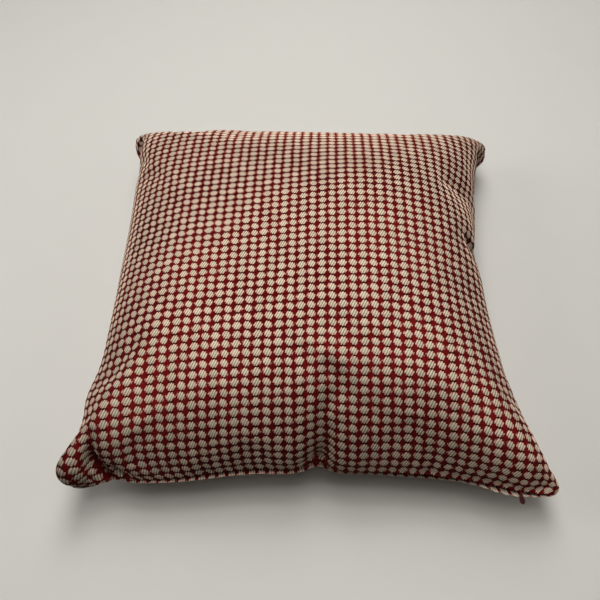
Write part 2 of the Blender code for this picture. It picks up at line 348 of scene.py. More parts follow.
def from_middle(rate, steps, axis):
    """Add a rate up along one axis, starting at the middle grid line."""
    rate = np.moveaxis(rate, axis, 0)
    pieces = 0.5 * (rate[1:] + rate[:-1]) * steps.reshape((-1,) + (1,) * (rate.ndim - 1))
    total = np.concatenate([np.zeros_like(rate[:1]), np.cumsum(pieces, axis=0)])
    return np.moveaxis(total - total[CELLS // 2], 0, axis)


def drawn_in(u, v, height):
    """Plan place of each point of the crowned panel, so that its threads keep their length."""
    line = panel_lines() * PANEL / 2
    steps = np.diff(line)
    climb_u = np.gradient(height, line, axis=0)
    climb_v = np.gradient(height, line, axis=1)
    thread_u = 1 - SEAM_NIP * np.abs(v) ** SEAM_NIP_POWER
    thread_v = 1 - SEAM_NIP * np.abs(u) ** SEAM_NIP_POWER
    x, y = u * PANEL / 2, v * PANEL / 2
    for _ in range(THREAD_PASSES):
        slant_u = np.gradient(y, line, axis=0)
        slant_v = np.gradient(x, line, axis=1)
        run_u = np.sqrt(np.clip(thread_u ** 2 - climb_u ** 2 - slant_u ** 2, LEAST_RUN, 1.0))
        run_v = np.sqrt(np.clip(thread_v ** 2 - climb_v ** 2 - slant_v ** 2, LEAST_RUN, 1.0))
        x, y = from_middle(run_u, steps, 0), from_middle(run_v, steps, 1)
    return x, y


def normals(places):
    """Unit normals of a grid of points."""
    along = np.gradient(places, axis=0)
    across = np.gradient(places, axis=1)
    out = np.cross(along, across)
    return out / np.linalg.norm(out, axis=-1, keepdims=True)


def fold_depth(u, v, folds):
    """Depth of the folds at each place of the panel."""
    depth = np.zeros_like(u)
    for u_from, v_from, u_to, v_to, width, deep in folds:
        run = np.array([u_to - u_from, v_to - v_from])
        reach = np.hypot(*run)
        along = ((u - u_from) * run[0] + (v - v_from) * run[1]) / reach
        across = ((u - u_from) * run[1] - (v - v_from) * run[0]) / reach * PANEL / 2
        past = np.clip(along / reach, 0.0, 1.0)
        before = np.clip(-along / reach, 0.0, None)
        fade = np.cos(past * math.pi / 2) ** FOLD_FADE * np.exp(-(before * FOLD_START) ** 2)
        depth = depth + deep * fade * np.exp(-(across / width) ** 2)
    return depth


def nip_seam(panel, u, v, lifted):
    """Pull the panel in and up where its seam is nipped."""
    for side, place, width, reach, inward, upward in NIPS:
        axis, way = SIDES[side]
        along, towards = (v, u) if axis == 0 else (u, v)
        nip = np.exp(-((along - place) / width) ** 2 - (1 - way * towards) / reach)
        panel[..., axis] -= way * inward * nip
        panel[..., 2] += upward * nip * lifted


def pull_ears(panel, u, v, lifted):
    """Pull each ear's tip in and up, and round it off."""
    for way_u, way_v, in_x, in_y, up in EAR_PULL.values():
        near_u, near_v = np.clip(way_u * u, 0.0, 1.0), np.clip(way_v * v, 0.0, 1.0)
        pull = (near_u * near_v) ** EAR_PULL_REACH
        tip = EAR_ROUND * (near_u * near_v) ** EAR_ROUND_REACH
        panel[..., 0] -= way_u * (in_x * pull + tip)
        panel[..., 1] -= way_v * (in_y * pull + tip)
        panel[..., 2] += up * pull * lifted


def draw_aside(panel, u, v, lifted):
    """Draw the cloth aside round each pull."""
    for at_u, at_v, radius, right, back, up in PULLS:
        share = np.exp(-((u - at_u) ** 2 + (v - at_v) ** 2) / radius ** 2) * lifted
        panel[..., 0] += right * share
        panel[..., 1] += back * share
        panel[..., 2] += up * share


def cushion_grids():
    """Points of the top and of the underside, which share the seam."""
    lines = panel_lines()
    u, v = np.meshgrid(lines, lines, indexing="ij")
    seam = seam_height(u, v)
    rise = top_rise(u, v)
    x, y = drawn_in(u, v, seam + rise)
    seam_only = np.maximum(np.abs(u), np.abs(v)) > 1 - 1e-9

    drop = np.where(seam_only, 0.0, under_drop(u, v))
    rise = np.where(seam_only, 0.0, rise)
    level = drop / REST_DEPTH

    top = np.stack([x, y, seam + rise], axis=-1)
    under = np.stack([x, y, seam * (1 - level) - drop], axis=-1)
    depth = np.minimum(fold_depth(u, v, FOLDS), FOLD_SHARE * (rise + drop))
    top -= normals(top) * depth[..., None]
    for panel, lifted in ((top, 1.0), (under, 1 - level)):
        nip_seam(panel, u, v, lifted)
        pull_ears(panel, u, v, lifted)
        draw_aside(panel, u, v, lifted)
    top, under = settled(top, under)
    plump_ears(top, under, u, v)
    return top, under


def plump_ears(top, under, u, v):
    """Push both panels apart where filling has gathered in an ear."""
    seam = seam_share(u, v)
    for at_u, at_v, radius, above, below in LOBES:
        share = np.exp(-((u - at_u) ** 2 + (v - at_v) ** 2) / radius ** 2) * seam
        top += normals(top) * (above * share)[..., None]
        under -= normals(under) * (below * share)[..., None]


def seam_share(u, v):
    """0 on the seam and 1 a little way in from it."""
    inward = np.minimum(1 - np.abs(u), 1 - np.abs(v)) / LOBE_EDGE
    return np.sqrt(np.clip(inward, 0.0, 1.0))


def settled(top, under):
    """Both grids moved so that their box is where the solid's box is."""
    both = np.concatenate([top.reshape(-1, 3), under.reshape(-1, 3)])
    low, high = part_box("cushion")
    middle = (np.array(low) + np.array(high)) / 2
    shift = middle - (both.min(axis=0) + both.max(axis=0)) / 2
    shift[2] = low[2] - both[:, 2].min()
    return top + shift, under + shift


# Making the cushion

def deselect():
    """Deselect everything."""
    bpy.ops.object.select_all(action="DESELECT")


def panel_piece(name, places, start, flipped):
    """One panel as a grid moved through the given places, with its weave laid out on it."""
    deselect()
    bpy.ops.mesh.primitive_grid_add(x_subdivisions=CELLS, y_subdivisions=CELLS, size=2.0)
    panel = bpy.context.object
    panel.name = name
    mesh = panel.data
    flat = np.zeros(len(mesh.vertices) * 3)
    mesh.vertices.foreach_get("co", flat)
    flat = flat.reshape(-1, 3)
    column = np.rint((flat[:, 0] + 1) * CELLS / 2).astype(int)
    row = np.rint((flat[:, 1] + 1) * CELLS / 2).astype(int)
    mesh.vertices.foreach_set("co", places[column, row].ravel())

    lines = panel_lines()
    corner = np.zeros(len(mesh.loops), dtype=int)
    mesh.loops.foreach_get("vertex_index", corner)
    across = lines[column[corner]] * PANEL / 2 / DOT_ACROSS + start[0]
    up = lines[row[corner]] * PANEL / 2 / DOT_UP + start[1]
    layer = mesh.uv_layers[0]
    layer.name = "weave"
    layer.data.foreach_set("uv", np.stack([across, up], axis=-1).ravel())
    inside = (column % CELLS != 0) & (row % CELLS != 0)
    side = np.where(inside, -1.0 if flipped else 1.0, 0.0)
    kept = mesh.attributes.new("flat place", "FLOAT_VECTOR", "POINT")
    kept.data.foreach_set("vector", np.stack([lines[column], lines[row], side], axis=-1).ravel())
    if flipped:
        bpy.ops.object.mode_set(mode="EDIT")
        bpy.ops.mesh.select_all(action="SELECT")
        bpy.ops.mesh.flip_normals()
        bpy.ops.object.mode_set(mode="OBJECT")
    return panel


def sew(pieces, name):
    """Join panels into one closed cushion along the seam that they share."""
    deselect()
    for piece in pieces:
        piece.select_set(True)
    bpy.context.view_layer.objects.active = pieces[0]
    bpy.ops.object.join()
    bpy.ops.object.mode_set(mode="EDIT")
    bpy.ops.mesh.select_all(action="SELECT")
    bpy.ops.mesh.remove_doubles(threshold=1e-5)
    bpy.ops.object.mode_set(mode="OBJECT")
    sewn = bpy.context.object
    sewn.name = name
    return sewn


def finish_surface(piece):
    """One level of subdivision, applied, and smooth shading."""
    deselect()
    piece.select_set(True)
    bpy.context.view_layer.objects.active = piece
    smooth = piece.modifiers.new("fine surface", "SUBSURF")
    smooth.levels = 1
    smooth.render_levels = 1
    smooth.uv_smooth = "PRESERVE_BOUNDARIES"
    bpy.ops.object.modifier_apply(modifier=smooth.name)
    bpy.ops.object.shade_smooth()


def read_points(owner):
    """Every point of a mesh or shape key as rows of x, y, z."""
    points = np.zeros(len(owner) * 3)
    owner.foreach_get("co", points)
    return points.reshape(-1, 3)


def point_normals(mesh):
    """Unit normal of every point of a mesh."""
    facing = np.zeros(len(mesh.vertices) * 3)
    mesh.vertex_normals.foreach_get("vector", facing)
    return facing.reshape(-1, 3)


def keep_mark(mesh, name, values):
    """Keep one number on every point, for the cloth's material to read."""
    kept = mesh.attributes.new(name, "FLOAT", "POINT")
    kept.data.foreach_set("value", values)


def flat_places(mesh):
    """Panel place and side of every point: over 0 on top, under 0 below, 0 on the seam."""
    places = np.zeros(len(mesh.vertices) * 3)
    mesh.attributes["flat place"].data.foreach_get("vector", places)
    return places.reshape(-1, 3)


def neighbour_average(mesh, values, passes):
    """Values evened out over the edges of the mesh, a number of times."""
    ends = np.zeros(len(mesh.edges) * 2, dtype=int)
    mesh.edges.foreach_get("vertices", ends)
    first, second = ends[0::2], ends[1::2]
    count = np.bincount(ends, minlength=len(values))[:, None]
    for _ in range(passes):
        total = np.zeros_like(values)
        for axis in range(3):
            total[:, axis] += np.bincount(first, values[second, axis], minlength=len(values))
            total[:, axis] += np.bincount(second, values[first, axis], minlength=len(values))
        values = 0.5 * values + 0.5 * total / count
    return values


def add_cloth(piece, cut, held):
    """Cloth that is blown up from its flat cut, with part of it held still."""
    cloth = piece.modifiers.new("filled cloth", "CLOTH")
    cloth.settings.quality = 6
    cloth.settings.mass = 0.3
    cloth.settings.tension_stiffness = 40
    cloth.settings.compression_stiffness = 40
    cloth.settings.shear_stiffness = 3
    cloth.settings.bending_stiffness = 0.5
    cloth.settings.tension_damping = 10
    cloth.settings.compression_damping = 10
    cloth.settings.shear_damping = 5
    cloth.settings.bending_damping = 1
    cloth.settings.use_pressure = True
    cloth.settings.uniform_pressure_force = PRESSURE
    cloth.settings.effector_weights.gravity = 0
    cloth.settings.vertex_group_mass = held.name
    cloth.settings.rest_shape_key = cut
    cloth.collision_settings.use_collision = False
    cloth.collision_settings.use_self_collision = False
    return cloth


def fill(piece):
    """Blow the sewn panels up as cloth and keep the fine folds that this gives them."""
    mesh = piece.data
    before = read_points(mesh.vertices)
    flat = flat_places(mesh)
    piece.shape_key_add(name="filled")
    cut = piece.shape_key_add(name="as cut")
    cut.data.foreach_set("co", (flat * (PANEL / 2, PANEL / 2, 0.0)).ravel())
    held = piece.vertex_groups.new(name="held")
    resting = (flat[:, 2] < 0) & (np.abs(flat[:, 0]) < HELD) & (np.abs(flat[:, 1]) < HELD)
    held.add([int(index) for index in np.nonzero(resting)[0]], 1.0, "REPLACE")

    cloth = add_cloth(piece, cut, held)
    for step in range(1, CLOTH_STEPS + 1):
        bpy.context.scene.frame_set(step)
    deselect()
    piece.select_set(True)
    bpy.context.view_layer.objects.active = piece
    bpy.ops.object.modifier_apply_as_shapekey(keep_modifier=False, modifier=cloth.name)
    move = read_points(mesh.shape_keys.key_blocks[-1].data) - before
    bpy.ops.object.shape_key_remove(all=True)
    bpy.context.scene.frame_set(1)

    fine = move - neighbour_average(mesh, move, FOLD_PASSES)
    size = np.linalg.norm(fine, axis=1, keepdims=True)
    fine *= np.minimum(1.0, MOST_MOVED / np.maximum(size, 1e-9))
    after = before + fine
    after[:, 2] = np.maximum(after[:, 2], before[:, 2].min())
    mesh.vertices.foreach_set("co", after.ravel())
    mesh.update()


def stretch(value, start, end):
    """1 between two places along the seam, with soft ends."""
    started = 1 / (1 + np.exp(-(value - start) / LIP_ENDS))
    ended = 1 / (1 + np.exp((value - end) / LIP_ENDS))
    return started * ended


def seam_outward(u, v):
    """Level direction out through the nearest seam."""
    to_sides = np.abs(u) > np.abs(v)
    across = np.where(to_sides, np.sign(u), 0.0)
    up = np.where(to_sides, 0.0, np.sign(v))
    return np.stack([across, up, 0 * u], axis=-1)


def lip_reach(lip, u, v, side, depth):
    """Share of one lip's swelling at each place."""
    panel, seam, start, end, middle, width = lip
    if seam == "all":
        along = u
        by_seam = np.clip((1 - np.minimum(np.abs(u), np.abs(v))) / CALM_EARS, 0.0, 1.0)
    else:
        axis, way = SIDES[seam]
        along, towards = (v, u) if axis == 0 else (u, v)
        near, full = BY_A_SEAM
        by_seam = np.clip((way * towards - near) / (full - near), 0.0, 1.0)
    on_panel = (side * panel > 0) | (side == 0) | (panel == 0)
    reach = on_panel * by_seam * stretch(along, start, end) * np.exp(-((depth - middle) / width) ** 2)
    if middle > SCALLOPED:
        dots = u * PANEL / 2 / DOT_ACROSS + UNDER_START[0]
        reach = reach * (1 - SCALLOP + SCALLOP * np.cos(2 * math.pi * dots))
    return reach


def shape_seam(piece):
    """Roll the cloth over beside the seam, press the creases in, and keep the seam's dark line, the
    painted shade of the creases and the painted shade of the zip's slit.
    """
    mesh = piece.data
    points = read_points(mesh.vertices)
    facing = point_normals(mesh)
    u, v, side = flat_places(mesh).T
    depth = (1 - np.maximum(np.abs(u), np.abs(v))) * PANEL / 2
    outward = seam_outward(u, v)
    for *lip, swelling, out, up in LIPS:
        reach = lip_reach(lip, u, v, side, depth)[:, None]
        points += reach * (facing * swelling + outward * out + (0.0, 0.0, up))
    # the seam's dark line, and painted shade in each crease
    dark = np.exp(-(depth / SEAM_DARK) ** 2) * SEAM_DARKNESS
    for u_from, v_from, u_to, v_to, width, deep, crease_shade in CREASES:
        crease = fold_depth(u, v, [(u_from, v_from, u_to, v_to, width, 1.0)]) * (side >= 0)
        points -= facing * (crease * deep * np.clip(depth / CREASE_EDGE, 0.0, 1.0))[:, None]
        dark = np.maximum(dark, crease ** 2 * crease_shade)
    points[:, 2] = np.maximum(points[:, 2], 0.0)
    mesh.vertices.foreach_set("co", points.ravel())
    # painted shade along the zip's slit, reaching farther on the underside
    slit_reach = np.where(side < 0, SLIT_SHADE_REACH[1], SLIT_SHADE_REACH[0])
    slit = stretch(u, *ZIP_STRETCH) * (v < -BY_A_SEAM[0]) * np.exp(-(depth / slit_reach) ** 2)
    keep_mark(mesh, "seam line and crease shade", dark)
    keep_mark(mesh, "zip slit shade", slit)
    mesh.update()


def mark_shade(piece):
    """Keep how far each place faces the front, and how light its surroundings are."""
    mesh = piece.data
    u, v = flat_places(mesh).T[:2]
    front = -point_normals(mesh)[:, 1]
    front = np.clip((front - FRONT_FROM) / (FRONT_FULL - FRONT_FROM), 0.0, 1.0)
    lightness = np.ones_like(front)
    for at_u, at_v, radius, lighter in SHADES:
        lightness *= 1 + lighter * np.exp(-((u - at_u) ** 2 + (v - at_v) ** 2) / radius ** 2)
    keep_mark(mesh, "faces front", front * front * (3 - 2 * front))
    keep_mark(mesh, "lightness", lightness)


def make_cushion(top, under):
    """The whole filled cushion from the points of its two panels."""
    panels = (
        panel_piece("top panel", top, TOP_START, False),
        panel_piece("under panel", under, UNDER_START, True),
    )
    cushion = sew(panels, "filled_cushion")
    fill(cushion)
    finish_surface(cushion)
    shape_seam(cushion)
    mark_shade(cushion)
    return cushion


# Making the puller

def front_seam(top, place):
    """Point on the front seam at a place along it."""
    lines = panel_lines()
    return Vector([np.interp(place, lines, top[:, 0, axis]) for axis in range(3)])


def pull_edge(turn):
    """Point of the teardrop's edge for a turn from 0 to 1 down one side and up the other."""
    way = 1.0 if turn < 0.5 else -1.0
    length = 1 - abs(1 - 2 * turn)
    belly = max(math.sin(math.pi * length ** BELLY_LOW), 0.0) ** BELLY_ROUND
    half = min(PULL_NECK * (1 - length) ** 2 + PULL_WIDTH * belly, PULL_WIDTH) / 2
    return way * half, -length * PULL_LENGTH


def make_puller(top):
    """The teardrop tab and its ring, hung on the front seam of the top panel."""
    deselect()
    bpy.ops.mesh.primitive_circle_add(vertices=PULL_SIDES, radius=1.0, fill_type="NGON")
    tab = bpy.context.object
    tab.name = "zip_tab"
    for index, vertex in enumerate(tab.data.vertices):
        across, up = pull_edge((index + 0.5) / PULL_SIDES)
        vertex.co = (across, PULL_THICK / 2, up)
    bpy.ops.object.mode_set(mode="EDIT")
    bpy.ops.mesh.select_all(action="SELECT")
    bpy.ops.mesh.extrude_region_move(TRANSFORM_OT_translate={"value": (0.0, -PULL_THICK, 0.0)})
    bpy.ops.mesh.inset(thickness=PULL_RIM)
    bpy.ops.transform.translate(value=(0.0, PULL_SUNK, 0.0))
    bpy.ops.mesh.select_all(action="SELECT")
    bpy.ops.mesh.normals_make_consistent(inside=False)
    bpy.ops.object.mode_set(mode="OBJECT")
    rounded = tab.modifiers.new("soft edge", "BEVEL")
    rounded.width = PULL_EDGE
    rounded.segments = 2
    bpy.ops.object.modifier_apply(modifier=rounded.name)

    bpy.ops.mesh.primitive_torus_add(
        major_radius=RING_RADIUS,
        minor_radius=RING_WIRE,
        major_segments=32,
        minor_segments=12,
        location=(0.0, 0.0, RING_UP),
        rotation=(0.0, math.radians(90.0), 0.0),
    )
    ring = bpy.context.object
    deselect()
    ring.select_set(True)
    tab.select_set(True)
    bpy.context.view_layer.objects.active = tab
    bpy.ops.object.join()
    tab.rotation_euler = (-PULL_LIFT, -PULL_SWING, 0.0)
    tab.location = front_seam(top, PULL_PLACE) + Vector((0.0, -PULL_OUT, PULL_UP))
    deselect()
    tab.select_set(True)
    bpy.context.view_layer.objects.active = tab
    bpy.ops.object.transform_apply(location=True, rotation=True, scale=True)
    bpy.ops.object.shade_smooth()
    return tab


# Material helpers

def add_node(tree, kind, **settings):
    """A shader node with the given settings."""
    made = tree.nodes.new(kind)
    for name, value in settings.items():
        setattr(made, name, value)
    return made


def feed(tree, socket, value):
    """Give a socket either another socket's output or a plain value."""
    if isinstance(value, bpy.types.NodeSocket):
        tree.links.new(value, socket)
    else:
        socket.default_value = value


def calc(tree, operation, *values):
    """A sum on one, two or three numbers."""
    made = add_node(tree, "ShaderNodeMath", operation=operation)
    for socket, value in zip(made.inputs, values):
        feed(tree, socket, value)
    return made.outputs[0]


def step_up(tree, value, low, high):
    """0 below the low value and 1 above the high one, with a soft step between them."""
    made = add_node(tree, "ShaderNodeMapRange", interpolation_type="SMOOTHSTEP")
    feed(tree, made.inputs["Value"], value)
    made.inputs["From Min"].default_value = low
    made.inputs["From Max"].default_value = high
    return made.outputs["Result"]


def step_down(tree, value, low, high):
    """1 below the low value and 0 above the high one, with a soft step between them."""
    return calc(tree, "SUBTRACT", 1.0, step_up(tree, value, low, high))


def mix(tree, share, first, second):
    """The first number at share 0 and the second at share 1."""
    made = add_node(tree, "ShaderNodeMix", data_type="FLOAT")
    feed(tree, made.inputs[0], share)
    feed(tree, made.inputs[2], first)
    feed(tree, made.inputs[3], second)
    return made.outputs[0]


def tint(tree, share, first, second, blend="MIX"):
    """The first colour at share 0 and the second at share 1."""
    made = add_node(tree, "ShaderNodeMix", data_type="RGBA", blend_type=blend)
    feed(tree, made.inputs[0], share)
    feed(tree, made.inputs[6], first)
    feed(tree, made.inputs[7], second)
    return made.outputs[2]


def lit(tree, colour, share):
    """A colour made darker, or lighter over 1, by a share."""
    grey = add_node(tree, "ShaderNodeCombineColor")
    for socket in grey.inputs:
        feed(tree, socket, share)
    return tint(tree, 1.0, colour, grey.outputs[0], "MULTIPLY")


def swing(tree, value, width):
    """A value from 0 to 1 turned into one that swings that wide about 0."""
    return calc(tree, "MULTIPLY_ADD", value, width, -width / 2)


def mark(tree, name):
    """A number kept on the points of the mesh."""
    return add_node(tree, "ShaderNodeAttribute", attribute_name=name).outputs["Fac"]


def chance(tree, place):
    """A random number for each whole place."""
    made = add_node(tree, "ShaderNodeTexWhiteNoise", noise_dimensions="2D")
    feed(tree, made.inputs["Vector"], place)
    return made.outputs["Value"]


def cloudy(tree, place, scale, detail):
    """Soft noise from 0 to 1 over a flat place."""
    made = add_node(tree, "ShaderNodeTexNoise", noise_dimensions="2D")
    feed(tree, made.inputs["Vector"], place)
    made.inputs["Scale"].default_value = scale
    made.inputs["Detail"].default_value = detail
    return made.outputs["Fac"]


def dot_number(tree, across, up):
    """One dot's number across and up, as a place."""
    made = add_node(tree, "ShaderNodeCombineXYZ")
    feed(tree, made.inputs[0], across)
    feed(tree, made.inputs[1], up)
    return made.outputs[0]


def new_group(name, inputs, outputs):
    """An empty node group with named sockets, and the sockets inside it."""
    group = bpy.data.node_groups.new(name, "ShaderNodeTree")
    for label, kind in inputs:
        group.interface.new_socket(label, in_out="INPUT", socket_type=kind)
    for label, kind in outputs:
        group.interface.new_socket(label, in_out="OUTPUT", socket_type=kind)
    entry = group.nodes.new("NodeGroupInput")
    leave = group.nodes.new("NodeGroupOutput")
    return group, entry.outputs, leave.inputs


def use_group(tree, group, **values):
    """Place a node group and give its inputs their values."""
    made = add_node(tree, "ShaderNodeGroup", node_tree=group)
    for label, value in values.items():
        feed(tree, made.inputs[label], value)
    return made.outputs


# The dotted weave

WEAVE_MASKS = ("Dot", "Tip", "Rib", "Crevice", "Gap", "Chance", "Height")
DOT_HALF = {"wide": (0.500, 0.383), "narrow": (0.380, 0.402)}
FLAT_SHARE = 0.34          # share of a wide dot's width that is level along its top
NARROW_ROUND = 1.8         # 2 would make a narrow dot oval, more makes it squarer
NARROW_LEAN = 0.20         # how far its top leans to the left
DOT_ASTRAY = (0.06, 0.05)  # how far dots stray from their places across and up
DOT_LUCK = 0.10            # how much they differ in size
RIBS_ACROSS = 3.9          # ribs in one dot's width of cloth
RIBS_UP = 1.7              # and in one row's height, which sets their slant
RIB_WANDER = 0.24          # how far the ribs wander
WANDER_SCALE = 2.3         # how often they do, in a dot's width
THREAD_SCALE = 14.0        # and how fine the threads in them are
RIB_NOTCH = -0.30          # how far ribs stand out past a dot's edge, under 0 for outwards
THREAD_NOTCH = 0.36        # how far single threads fray it
RIB_UNEVEN = 0.28          # how much fainter the ribs of some dots are

# Where its parts fade in or out: by a dot's outline, or by the place across or up in its cell
DOT_RIM = (0.96, 1.03)
TIP_RIM = (0.60, 0.96)
TIP_ACROSS = (0.04, 0.32)
CREVICE_HALF = {"wide": 0.34, "narrow": 0.16}
CREVICE_ENDS = (-0.04, 0.06)
CREVICE_UP = (0.41, 0.46)
GAP_ACROSS = (0.34, 0.42)
GAP_UP = (0.08, 0.22)
PUFF_RIM = (0.30, 1.12)

# Its relief, as shares of the height of the bumps
DOT_HEIGHT = 0.80
RIB_HEIGHT = 0.24
THREAD_HEIGHT = 0.30
CREVICE_HEIGHT = -0.20

# Its colours
RIB_COLOURED = (0.16, 0.46)  # where a rib's own colour fades in, from between ribs to its top
BETWEEN_RIBS = rgb(140, 127, 102)
RIB_TOP = rgb(238, 221, 196)
PINK_TIP = rgb(232, 146, 130)
TIP_SHARE = 0.80
DEEP_RED = rgb(92, 9, 12)
CLEAR_RED = rgb(128, 22, 22)
GAP_RED = rgb(88, 16, 14)
# painted shade in the crevices between dots above each other
CREVICE_SHADE = rgb(52, 20, 8)
# the seam's dark line, and painted shade in the creases
SEAM_LINE_AND_CREASE_SHADE = rgb(84, 14, 16)
# painted shade in the zip's slit
SLIT_SHADE = rgb(20, 8, 8)

# Its shade
LOW_SHADE = 0.71           # shade low on the sides, where the raised dots shade each other
LOW_SIDES = (0.040, 0.122)  # heights that this shade fades between
FRONT_SHADE = 0.58         # and on the front, which is turned away from the window
SHADE_SIDE_ON = 0.83       # shade of the cloth where it is seen from the side
LIGHT_GRAZED = 2.00        # and how much lighter again where its fibres catch the light
SUNK_FRONT = 0.80          # more shade of the sunk red ground on the front
SUNK_SIDE_ON = 0.62        # and where it is seen from the side
DOT_SHADE = 0.10           # how much dots differ in shade
SIDE_ON = (0.08, 0.62)     # how far from the eye cloth turns until it is seen from the side
GRAZED = (0.45, 0.95)      # and until its fibres catch the light


def dotted_weave():
    """Masks of the weave, worked out from a place counted in dots."""
    group, given, out = new_group(
        "dotted weave",
        [("Place", "NodeSocketVector")],
        [(label, "NodeSocketFloat") for label in WEAVE_MASKS],
    )
    split = add_node(group, "ShaderNodeSeparateXYZ")
    group.links.new(given["Place"], split.inputs[0])
    place_x, place_y = split.outputs[0], split.outputs[1]
    column = calc(group, "ROUND", place_x)
    row = calc(group, "ROUND", place_y)
    luck = chance(group, dot_number(group, column, row))
    luck_up = chance(group, dot_number(group, row, column))
    odd = calc(group, "FLOORED_MODULO", column, 2.0)

    # Place inside the dot's own cell, from -0.5 to 0.5, a little off centre in each
    x = calc(group, "SUBTRACT", place_x, column)
    y = calc(group, "SUBTRACT", place_y, row)
    x = calc(group, "ADD", x, swing(group, luck, DOT_ASTRAY[0]))
    y = calc(group, "ADD", y, swing(group, luck_up, DOT_ASTRAY[1]))
    wide_x = calc(group, "ABSOLUTE", x)
    wide_y = calc(group, "ABSOLUTE", y)

    # Slanting ribs, in step with the dots, and the uneven threads that they are made of
    down_ribs = calc(group, "MULTIPLY", place_y, -RIBS_UP)
    over_ribs = calc(group, "MULTIPLY_ADD", place_x, RIBS_ACROSS, down_ribs)
    wander = cloudy(group, given["Place"], WANDER_SCALE, 1.0)
    over_ribs = calc(group, "ADD", over_ribs, swing(group, wander, RIB_WANDER))
    rib = calc(group, "COSINE", calc(group, "MULTIPLY", over_ribs, 2 * math.pi))
    rib = calc(group, "MULTIPLY_ADD", rib, 0.5, 0.5)
    threads = cloudy(group, given["Place"], THREAD_SCALE, 2.0)

    # Outlines of both dots: 1 on the edge, less inside
    half_x, half_y = DOT_HALF["wide"]
    sideways = calc(group, "DIVIDE", wide_x, half_x)
    slant = calc(group, "MULTIPLY_ADD", wide_y, (1 - FLAT_SHARE) / half_y, sideways)
    wide = calc(group, "SMOOTH_MAX", slant, calc(group, "DIVIDE", wide_y, half_y), 0.10)
    half_x, half_y = DOT_HALF["narrow"]
    leaning = calc(group, "ABSOLUTE", calc(group, "MULTIPLY_ADD", y, NARROW_LEAN, x))
    along = calc(group, "POWER", calc(group, "DIVIDE", leaning, half_x), NARROW_ROUND)
    above = calc(group, "POWER", calc(group, "DIVIDE", wide_y, half_y), NARROW_ROUND)
    narrow = calc(group, "POWER", calc(group, "ADD", along, above), 1 / NARROW_ROUND)
    edge = mix(group, odd, wide, narrow)
    edge = calc(group, "ADD", edge, swing(group, rib, RIB_NOTCH))
    edge = calc(group, "ADD", edge, swing(group, threads, THREAD_NOTCH))
    edge = calc(group, "ADD", edge, swing(group, luck_up, DOT_LUCK))
    dot = step_down(group, edge, *DOT_RIM)
    tip = calc(group, "MULTIPLY", step_up(group, edge, *TIP_RIM), step_up(group, wide_x, *TIP_ACROSS))

    # Crevices between dots above each other, which get painted shade, and thin lines between dots
    # side by side
    reach = mix(group, odd, CREVICE_HALF["wide"], CREVICE_HALF["narrow"])
    inside = step_down(group, calc(group, "SUBTRACT", wide_x, reach), *CREVICE_ENDS)
    crevice = calc(group, "MULTIPLY", step_up(group, wide_y, *CREVICE_UP), inside)
    level = step_down(group, wide_y, *GAP_UP)
    gap = calc(group, "MULTIPLY", step_up(group, wide_x, *GAP_ACROSS), level)

    # Relief: puffed dots, their ribs, the threads over all, and the sunk crevices
    height = calc(group, "MULTIPLY", step_down(group, edge, *PUFF_RIM), DOT_HEIGHT)
    height = calc(group, "MULTIPLY_ADD", calc(group, "MULTIPLY", rib, dot), RIB_HEIGHT, height)
    height = calc(group, "MULTIPLY_ADD", threads, THREAD_HEIGHT, height)
    height = calc(group, "MULTIPLY_ADD", crevice, CREVICE_HEIGHT, height)

    for label, result in zip(WEAVE_MASKS, (dot, tip, rib, crevice, gap, luck, height)):
        feed(group, out[label], result)
    return group


def soft_mottle():
    """A slow change of shade over a surface, with a finer one on it."""
    group, given, out = new_group(
        "soft mottle",
        [("Place", "NodeSocketVector"), ("Coarse", "NodeSocketFloat"), ("Fine", "NodeSocketFloat")],
        [("Shade", "NodeSocketFloat")],
    )
    coarse = add_node(group, "ShaderNodeTexNoise")
    fine = add_node(group, "ShaderNodeTexNoise")
    for noise, label in ((coarse, "Coarse"), (fine, "Fine")):
        group.links.new(given["Place"], noise.inputs["Vector"])
        group.links.new(given[label], noise.inputs["Scale"])
    slow = calc(group, "MULTIPLY", coarse.outputs["Fac"], 0.6)
    feed(group, out["Shade"], calc(group, "MULTIPLY_ADD", fine.outputs["Fac"], 0.4, slow))
    return group


def dot_colour(tree, masks):
    """Cream of the ribbed dots, pink at their tips where the red threads come through."""
    rib = step_up(tree, masks["Rib"], *RIB_COLOURED)
    rib = mix(tree, calc(tree, "MULTIPLY", masks["Chance"], RIB_UNEVEN), rib, 1.0)
    cream = tint(tree, rib, BETWEEN_RIBS, RIB_TOP)
    return tint(tree, calc(tree, "MULTIPLY", masks["Tip"], TIP_SHARE), cream, PINK_TIP)


def ground_colour(tree, masks, mottled, front, side_on):
    """Red of the ground that is sunk between the dots, with painted shade in its crevices, deeper on
    the front and where it is seen from the side.
    """
    red = tint(tree, step_up(tree, mottled, 0.35, 0.65), DEEP_RED, CLEAR_RED)
    red = tint(tree, masks["Gap"], red, GAP_RED)
    red = tint(tree, masks["Crevice"], red, CREVICE_SHADE)
    sunk_front = mix(tree, front, 1.0, SUNK_FRONT)
    sunk_side_on = mix(tree, side_on, 1.0, SUNK_SIDE_ON)
    return lit(tree, red, calc(tree, "MULTIPLY", sunk_side_on, sunk_front))


def cloth_shade(tree, masks, place, front, side_on, grazed):
    """How light the cloth is: by dot, by place, and by how it is seen."""
    split = add_node(tree, "ShaderNodeSeparateXYZ")
    tree.links.new(place, split.inputs[0])
    raised_up = step_up(tree, split.outputs[2], *LOW_SIDES)
    lightness = calc(tree, "MULTIPLY_ADD", masks["Chance"], DOT_SHADE, 1 - DOT_SHADE)
    turned = mix(tree, front, mix(tree, raised_up, LOW_SHADE, 1.0), FRONT_SHADE)
    seen_side_on = mix(tree, side_on, 1.0, SHADE_SIDE_ON)
    seen_grazed = mix(tree, grazed, 1.0, LIGHT_GRAZED)
    for share in (turned, mark(tree, "lightness"), seen_side_on, seen_grazed):
        lightness = calc(tree, "MULTIPLY", lightness, share)
    return lightness


